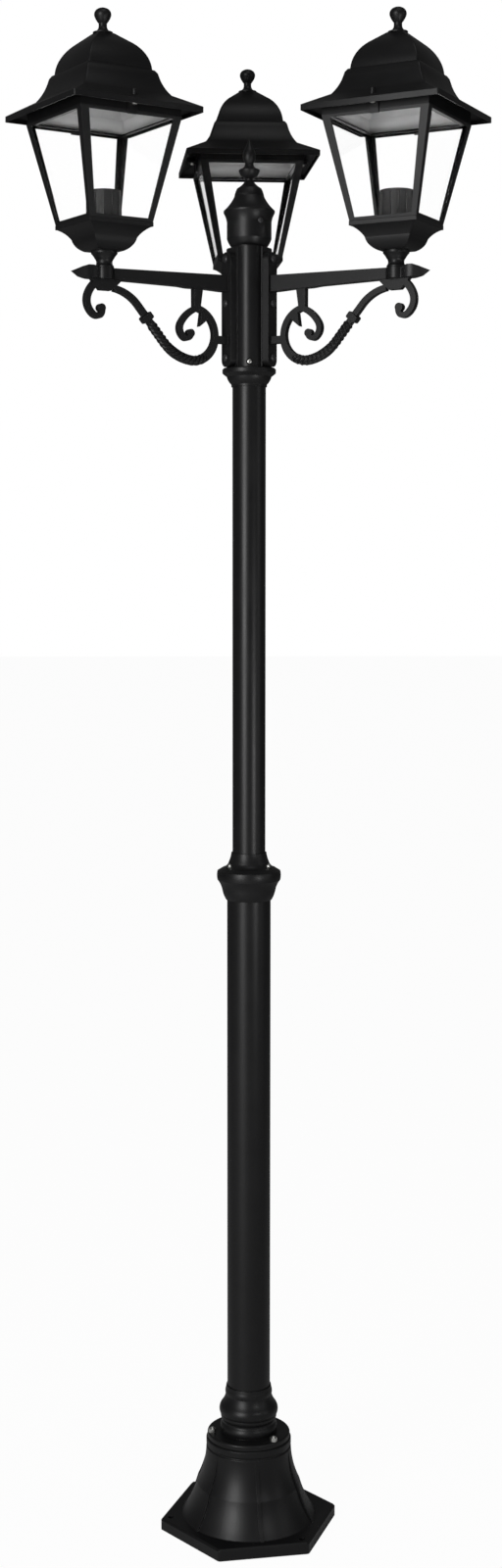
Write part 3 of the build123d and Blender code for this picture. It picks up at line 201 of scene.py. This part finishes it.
def coat(name, colour, grain, depth, gloss, specular=0.25, rounding=0.0):
    """Powder coat on metal, with its own colour, grain, gloss and rounding of hard edges."""
    paint = bpy.data.materials.new(name)
    paint.use_nodes = True
    tree = paint.node_tree
    shader = tree.nodes["Principled BSDF"]
    shader.inputs["Specular IOR Level"].default_value = specular
    skin = tree.nodes.new("ShaderNodeGroup")
    skin.node_tree = coat_skin
    skin.inputs["Grain"].default_value = grain
    skin.inputs["Depth"].default_value = depth
    skin.inputs["Gloss"].default_value = gloss
    tint = tree.nodes.new("ShaderNodeMix")
    tint.data_type = "RGBA"
    tint.blend_type = "MULTIPLY"
    tint.inputs["Factor"].default_value = 1.0
    tint.inputs["A"].default_value = (*colour, 1.0)
    tree.links.new(skin.outputs["Shade"], tint.inputs["B"])
    tree.links.new(tint.outputs["Result"], shader.inputs["Base Color"])
    tree.links.new(skin.outputs["Roughness"], shader.inputs["Roughness"])
    bump = tree.nodes.new("ShaderNodeBump")
    bump.inputs["Strength"].default_value = 0.35
    bump.inputs["Distance"].default_value = 0.0002
    tree.links.new(skin.outputs["Height"], bump.inputs["Height"])
    if rounding:
        round_edge = tree.nodes.new("ShaderNodeBevel")
        round_edge.samples = 4
        round_edge.inputs["Radius"].default_value = rounding
        tree.links.new(round_edge.outputs["Normal"], bump.inputs["Normal"])
    tree.links.new(bump.outputs["Normal"], shader.inputs["Normal"])
    return paint


def dress(material, *names):
    """Give CAD nodes one material."""
    for name in names:
        for slot in nodes[name].material_slots:
            slot.material = material


cast_black = coat("cast_black", (0.006, 0.006, 0.0063), 700.0, 0.5, 0.33, rounding=1.0 * mm)
dress(cast_black, "base_casting", "post_foot", "mid_collar", "arm_hub", "centre_cap", "cap_spire")

# Tubes: drawn aluminium tube with the same coat, laid on a little smoother.
tube_black = coat("tube_black", (0.006, 0.006, 0.0063), 500.0, 0.3, 0.3)
dress(tube_black, "lower_tube", "upper_tube")

# Bright screws and the hidden steel pieces: zinc plated, with a fine uneven shade and gloss.
zinc = bpy.data.materials.new("zinc")
zinc.use_nodes = True
plating = zinc.node_tree
plate = plating.nodes["Principled BSDF"]
plate.inputs["Metallic"].default_value = 1.0
cloud = plating.nodes.new("ShaderNodeTexNoise")
cloud.inputs["Scale"].default_value = 900.0
where = plating.nodes.new("ShaderNodeTexCoord")
plating.links.new(where.outputs["Object"], cloud.inputs["Vector"])
tone = plating.nodes.new("ShaderNodeValToRGB")
tone.color_ramp.elements[0].color = (0.42, 0.42, 0.4, 1.0)
tone.color_ramp.elements[1].color = (0.75, 0.75, 0.72, 1.0)
plating.links.new(cloud.outputs["Fac"], tone.inputs["Fac"])
plating.links.new(tone.outputs["Color"], plate.inputs["Base Color"])
dull = plating.nodes.new("ShaderNodeMapRange")
dull.inputs["To Min"].default_value = 0.22
dull.inputs["To Max"].default_value = 0.4
plating.links.new(cloud.outputs["Fac"], dull.inputs["Value"])
plating.links.new(dull.outputs[0], plate.inputs["Roughness"])
dress(zinc, "base_bolts", "foot_grub_screws", "collar_screws", "hub_screws")
for side in sides:
    dress(zinc, f"{side}_nipple", f"{side}_nipple_nut")
    dress(zinc, f"{side}_holder_strap", f"{side}_roof_screws")

# Arm screws and the cap's screw: blacked steel, which hardly shows beside the bright ones.
black_steel = coat("black_steel", (0.018, 0.018, 0.019), 900.0, 0.3, 0.3, specular=0.5)
dress(black_steel, "arm_screws", "cap_screw")

# From these angles on, an edge between two faces stays sharp, or is bevelled.
sharp_from = math.radians(35.0)
bevel_from = math.radians(38.0)


def to_piece(name, shape, material, body, soften=None):
    """Make a mesh an object of the assembly, with its finish and its body."""
    data = bpy.data.meshes.new(name)
    shape.to_mesh(data)
    shape.free()
    data.materials.append(material)
    for face in data.polygons:
        face.use_smooth = True
    data.set_sharp_from_angle(angle=sharp_from)
    piece = bpy.data.objects.new(name, data)
    scene.collection.objects.link(piece)
    if soften:
        edge = piece.modifiers.new("edges", "BEVEL")
        edge.width = soften
        edge.segments = 3
        edge.limit_method = "ANGLE"
        edge.angle_limit = bevel_from
    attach(piece, body)
    return piece


# Arms: cast in one piece with their scrolls. The scroll edges are rounded off, as a mould
# leaves them, and the S is twisted like a rope from its knuckle to the bottom of its bowl.
# The S is laid out in 180ths of the arm's length from its back plate to the lantern.
arm_rounding = 1.3 * mm
merge_within = 0.01 * mm
flat_within = math.radians(1.5)
lantern_reach = 216.4 * mm
plate_face = 35.8 * mm
bar_top = 1735.5 * mm
unit = (lantern_reach - plate_face) / 180.0
s_start = Vector((lantern_reach - 12.6 * unit, bar_top - 24.5 * unit))
s_heading = math.radians(188.1)
top_bend, top_turn = 56.9 * unit, math.radians(41.6)
flank = 57.4 * unit
knuckle_share = 0.40
bowl_bend, bowl_turn = 64.7 * unit, math.radians(-40.7)
tail_bend, tail_turn = 32.8 * unit, math.radians(-50.0)
twist_radius = 6.8 * mm
twist_valley = 0.76
twist_end = 0.35
twist_taper_steps = 6.0
twist_pitch = 26.0 * mm
twist_step = 1.3 * mm


def run_on(place, heading, radius, turn):
    """Points and headings along an arc in the arm's plane, from a place and a heading."""
    count = max(2, round(radius * abs(turn) / twist_step))
    hand = 1.0 if turn > 0 else -1.0
    centre = place + hand * radius * Vector((-math.sin(heading), math.cos(heading)))
    trail = []
    for index in range(1, count + 1):
        angle = turn * index / count
        spoke = heading + angle - hand * math.pi / 2
        point = centre + radius * Vector((math.cos(spoke), math.sin(spoke)))
        trail.append((point, heading + angle))
    return trail


def twist_route():
    """The S from its knuckle to past the bottom of its bowl, as (point, heading) pairs."""
    top_end, heading = run_on(s_start, s_heading, top_bend, top_turn)[-1]
    along = Vector((math.cos(heading), math.sin(heading)))
    route = []
    twisted = 1.0 - knuckle_share
    count = round(flank * twisted / twist_step)
    for index in range(count + 1):
        share = knuckle_share + twisted * index / count
        route.append((top_end + along * flank * share, heading))
    route += run_on(route[-1][0], heading, bowl_bend, bowl_turn)
    place, heading = route[-1]
    route += run_on(place, heading, tail_bend, tail_turn)
    return route


def rope(azimuth):
    """Four-stranded twist along the route, turned to the arm's azimuth.

    It tapers at both ends, so that it grows out of the casting.
    """
    shape = bmesh.new()
    ring = bmesh.ops.create_circle(shape, segments=24, radius=1.0)["verts"]
    for vert in ring:
        angle = math.atan2(vert.co.y, vert.co.x)
        vert.co *= twist_valley + (1.0 - twist_valley) * abs(math.cos(2.0 * angle))
    route = twist_route()
    shape.faces.new(ring)
    base = [vert.co.copy() for vert in ring]
    travelled = 0.0
    for index, (place, heading) in enumerate(route):
        if index:
            travelled += (place - route[index - 1][0]).length
            edges = [edge for edge in shape.edges if all(vert in ring for vert in edge.verts)]
            grown = bmesh.ops.extrude_edge_only(shape, edges=edges)["geom"]
            fresh = [item for item in grown if isinstance(item, bmesh.types.BMVert)]
            order = []
            for vert in ring:
                for edge in vert.link_edges:
                    other = edge.other_vert(vert)
                    if other in fresh:
                        order.append(other)
            ring = order
        from_end = min(index, len(route) - 1 - index)
        ease = min(1.0, twist_end + (1.0 - twist_end) * from_end / twist_taper_steps)
        spin = 2.0 * math.pi * travelled / twist_pitch
        across = Vector((-math.sin(heading), 0.0, math.cos(heading)))
        out = Vector((0.0, 1.0, 0.0))
        middle = Vector((place.x, 0.0, place.y))
        for vert, point in zip(ring, base):
            x = point.x * math.cos(spin) - point.y * math.sin(spin)
            y = point.x * math.sin(spin) + point.y * math.cos(spin)
            vert.co = middle + (across * x + out * y) * twist_radius * ease
    shape.faces.new(ring)
    bmesh.ops.recalc_face_normals(shape, faces=shape.faces)
    to_azimuth = Matrix.Rotation(math.radians(azimuth), 3, "Z")
    bmesh.ops.rotate(shape, verts=shape.verts, matrix=to_azimuth)
    return shape


for side, azimuth in sides.items():
    casting = bmesh.new()
    casting.from_mesh(nodes[f"{side}_arm"].data)
    bmesh.ops.remove_doubles(casting, verts=casting.verts, dist=merge_within)
    bmesh.ops.dissolve_limit(
        casting, angle_limit=flat_within, use_dissolve_boundaries=False,
        verts=casting.verts, edges=casting.edges, delimit={"NORMAL"},
    )
    arm_piece = to_piece(
        f"{side}_arm_casting", casting, cast_black, "post", soften=arm_rounding,
    )
    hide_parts(f"{side}_arm")
    to_piece(f"{side}_arm_twist", rope(azimuth), cast_black, "post")

# Necks, pans and cages: castings with the same coat.
for side in sides:
    dress(cast_black, f"{side}_neck", f"{side}_pan", f"{side}_cage")

# Roofs: square ogee shells with soft hips, painted black outside and pale grey inside, where
# they throw the light down. A band with two screw bosses stands inside the eave, and a
# mushroom knob closes each. The outlines' half widths and heights are in mm.
roof_black = coat("roof_black", (0.0055, 0.0055, 0.0058), 700.0, 0.5, 0.36)
cage_top = 1920.0
eave_low = cage_top + 4.0
eave_half = 93.2
roof_wall = 1.8
crown_rise, crown_half = 103.0, 11.8
crown_inner_rise, crown_inner_half = 95.5, 17.3
hip_rounding = 2.2 * mm
band_half, band_inner_half = 72.1, 69.6
band_low, band_top = cage_top + 0.3, 1940.0
boss_offset = 79.0 * mm
boss_low, boss_top = 1931.3 * mm, 1944.0 * mm
boss_radius, boss_top_radius = 4.0 * mm, 3.6 * mm
lining_half, lining_low = 68.9, 1922.0
lining_inset = 2.4
lining_thickness = 0.3 * mm
join_within = 0.005 * mm
on_diagonal = 0.01 * mm
shortest_edge = 0.001 * mm


def arc(start, end, sag, steps):
    """Points after start on an arc to end whose middle stands out by sag to the left."""
    dx, dy = end[0] - start[0], end[1] - start[1]
    chord = math.hypot(dx, dy)
    radius = (chord * chord / 4 + sag * sag) / (2 * abs(sag))
    swing = 2 * math.asin(min(1.0, chord / (2 * radius)))
    hand = 1.0 if sag > 0 else -1.0
    middle = ((start[0] + end[0]) / 2, (start[1] + end[1]) / 2)
    normal = (-dy / chord, dx / chord)
    offset = sag - hand * radius
    centre = (middle[0] + normal[0] * offset, middle[1] + normal[1] * offset)
    first = math.atan2(start[1] - centre[1], start[0] - centre[0])
    return [
        (
            centre[0] + radius * math.cos(first - hand * swing * k / steps),
            centre[1] + radius * math.sin(first - hand * swing * k / steps),
        )
        for k in range(1, steps + 1)
    ]


def roof_line(inset):
    """The roof's outline from its crown to its eave's upper edge, moved in by inset."""
    def moved(half, rise):
        return (half - inset, eave_low + rise - inset)
    line = [moved(25.4, 92.5)]
    line += arc(line[-1], moved(46.2, 55.5), 4.9, 10)
    line += [moved(48.9, 54.5), moved(51.4, 51.0), moved(52.7, 46.0)]
    line += arc(line[-1], moved(64.3, 22.5), -1.4, 5)
    line.append(moved(eave_half, 7.2))
    return line


def four_sides(shape, outline, closed):
    """Turn an outline of (half width, height) in mm into a square shell, in four steps."""
    verts = [shape.verts.new((half * mm, half * mm, height * mm)) for half, height in outline]
    edges = [shape.edges.new(pair) for pair in zip(verts, verts[1:])]
    if closed:
        edges.append(shape.edges.new((verts[-1], verts[0])))
    bmesh.ops.spin(
        shape, geom=verts + edges, cent=(0.0, 0.0, 0.0), axis=(0.0, 0.0, 1.0),
        angle=2.0 * math.pi, steps=4, use_merge=True,
    )
    bmesh.ops.remove_doubles(shape, verts=shape.verts, dist=join_within)


def hips(shape):
    """Edges that run up a corner of a square shell."""
    found = []
    for edge in shape.edges:
        a, b = (vert.co for vert in edge.verts)
        at_corner = all(abs(abs(end.x) - abs(end.y)) < on_diagonal for end in (a, b))
        same_corner = a.x * b.x >= 0 and a.y * b.y >= 0
        if at_corner and same_corner and (a - b).length > shortest_edge:
            found.append(edge)
    return found


lantern_spots = {}
for side in sides:
    low, high = (Vector(corner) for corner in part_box(f"{side}_roof"))
    lantern_spots[side] = (low + high) / 2

# Degrees by which each lantern is turned on its arm, as the photograph shows.
lantern_turn = {"left": 2.9, "right": 2.5, "back": 4.7}


def settle(shape, side):
    """Turn a lantern's shape and move it from the origin's axis to its arm."""
    turn = math.radians(sides[side] + lantern_turn[side])
    bmesh.ops.rotate(shape, verts=shape.verts, matrix=Matrix.Rotation(turn, 3, "Z"))
    spot = lantern_spots[side]
    bmesh.ops.translate(shape, verts=shape.verts, vec=(spot.x, spot.y, 0.0))


lining = coat("lining", (0.5, 0.5, 0.5), 300.0, 0.3, 0.5, specular=0.3)

for side in sides:
    roof = bmesh.new()
    crown = eave_low + crown_rise
    ceiling = eave_low + crown_inner_rise
    outer = [(0.0, crown), (crown_half, crown)] + roof_line(0.0)
    inner = [(eave_half, eave_low), (eave_half - roof_wall, eave_low)]
    inner += list(reversed(roof_line(roof_wall)))
    inner += [(crown_inner_half, ceiling), (0.0, ceiling)]
    four_sides(roof, outer + inner, False)
    bmesh.ops.recalc_face_normals(roof, faces=roof.faces)
    bmesh.ops.bevel(
        roof, geom=hips(roof), offset=hip_rounding, offset_type="OFFSET", segments=3,
        profile=0.5, affect="EDGES", material=-1, clamp_overlap=True,
    )
    settle(roof, side)
    roof_piece = to_piece(f"{side}_roof_shell", roof, roof_black, f"{side}_roof_body")
    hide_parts(f"{side}_roof")
    dress(roof_black, f"{side}_roof", f"{side}_roof_finial")

    band = bmesh.new()
    four_sides(
        band,
        [
            (band_half, band_low), (band_half, band_top),
            (band_inner_half, band_top), (band_inner_half, band_low),
        ],
        True,
    )
    bmesh.ops.recalc_face_normals(band, faces=band.faces)
    for way in (1.0, -1.0):
        bmesh.ops.create_cone(
            band, cap_ends=True, segments=24, radius1=boss_radius, radius2=boss_top_radius,
            depth=boss_top - boss_low,
            matrix=Matrix.Translation((0.0, way * boss_offset, (boss_low + boss_top) / 2)),
        )
    settle(band, side)
    to_piece(f"{side}_roof_band", band, roof_black, f"{side}_roof_body")

    liner = bmesh.new()
    rim = [(lining_half, lining_low), (lining_half, band_top)]
    four_sides(liner, rim + list(reversed(roof_line(lining_inset)))[1:], False)
    bmesh.ops.recalc_face_normals(liner, faces=liner.faces)
    bmesh.ops.reverse_faces(liner, faces=liner.faces)
    settle(liner, side)
    liner_piece = to_piece(f"{side}_roof_lining", liner, lining, f"{side}_roof_body")
    wall = liner_piece.modifiers.new("wall", "SOLIDIFY")
    wall.thickness = lining_thickness
    wall.offset = -1.0

# Glass: clear panes that hardly bend what is behind them, with a faint uneven film.
clear = bpy.data.materials.new("clear")
clear.use_nodes = True
pane_tree = clear.node_tree
pane = pane_tree.nodes["Principled BSDF"]
pane.inputs["Base Color"].default_value = (1.0, 1.0, 1.0, 1.0)
pane.inputs["Transmission Weight"].default_value = 1.0
pane.inputs["IOR"].default_value = 1.06
pane.inputs["Specular IOR Level"].default_value = 0.5
smear = pane_tree.nodes.new("ShaderNodeTexNoise")
smear.inputs["Scale"].default_value = 30.0
film = pane_tree.nodes.new("ShaderNodeMapRange")
film.inputs["To Min"].default_value = 0.0
film.inputs["To Max"].default_value = 0.02
pane_tree.links.new(smear.outputs["Fac"], film.inputs["Value"])
pane_tree.links.new(film.outputs[0], pane.inputs["Roughness"])
for side in sides:
    dress(clear, f"{side}_glass_panes")

# Lamp holders: black moulding, with plated metal inside. The terminal block is white.
moulding = coat("moulding", (0.012, 0.012, 0.012), 1200.0, 0.3, 0.45, rounding=0.6 * mm)
block_white = coat("block_white", (0.7, 0.69, 0.65), 900.0, 0.3, 0.4)
dress(block_white, "terminal_block")
for side in sides:
    dress(moulding, f"{side}_lamp_holder")
    dress(zinc, f"{side}_socket_shell", f"{side}_centre_contact")
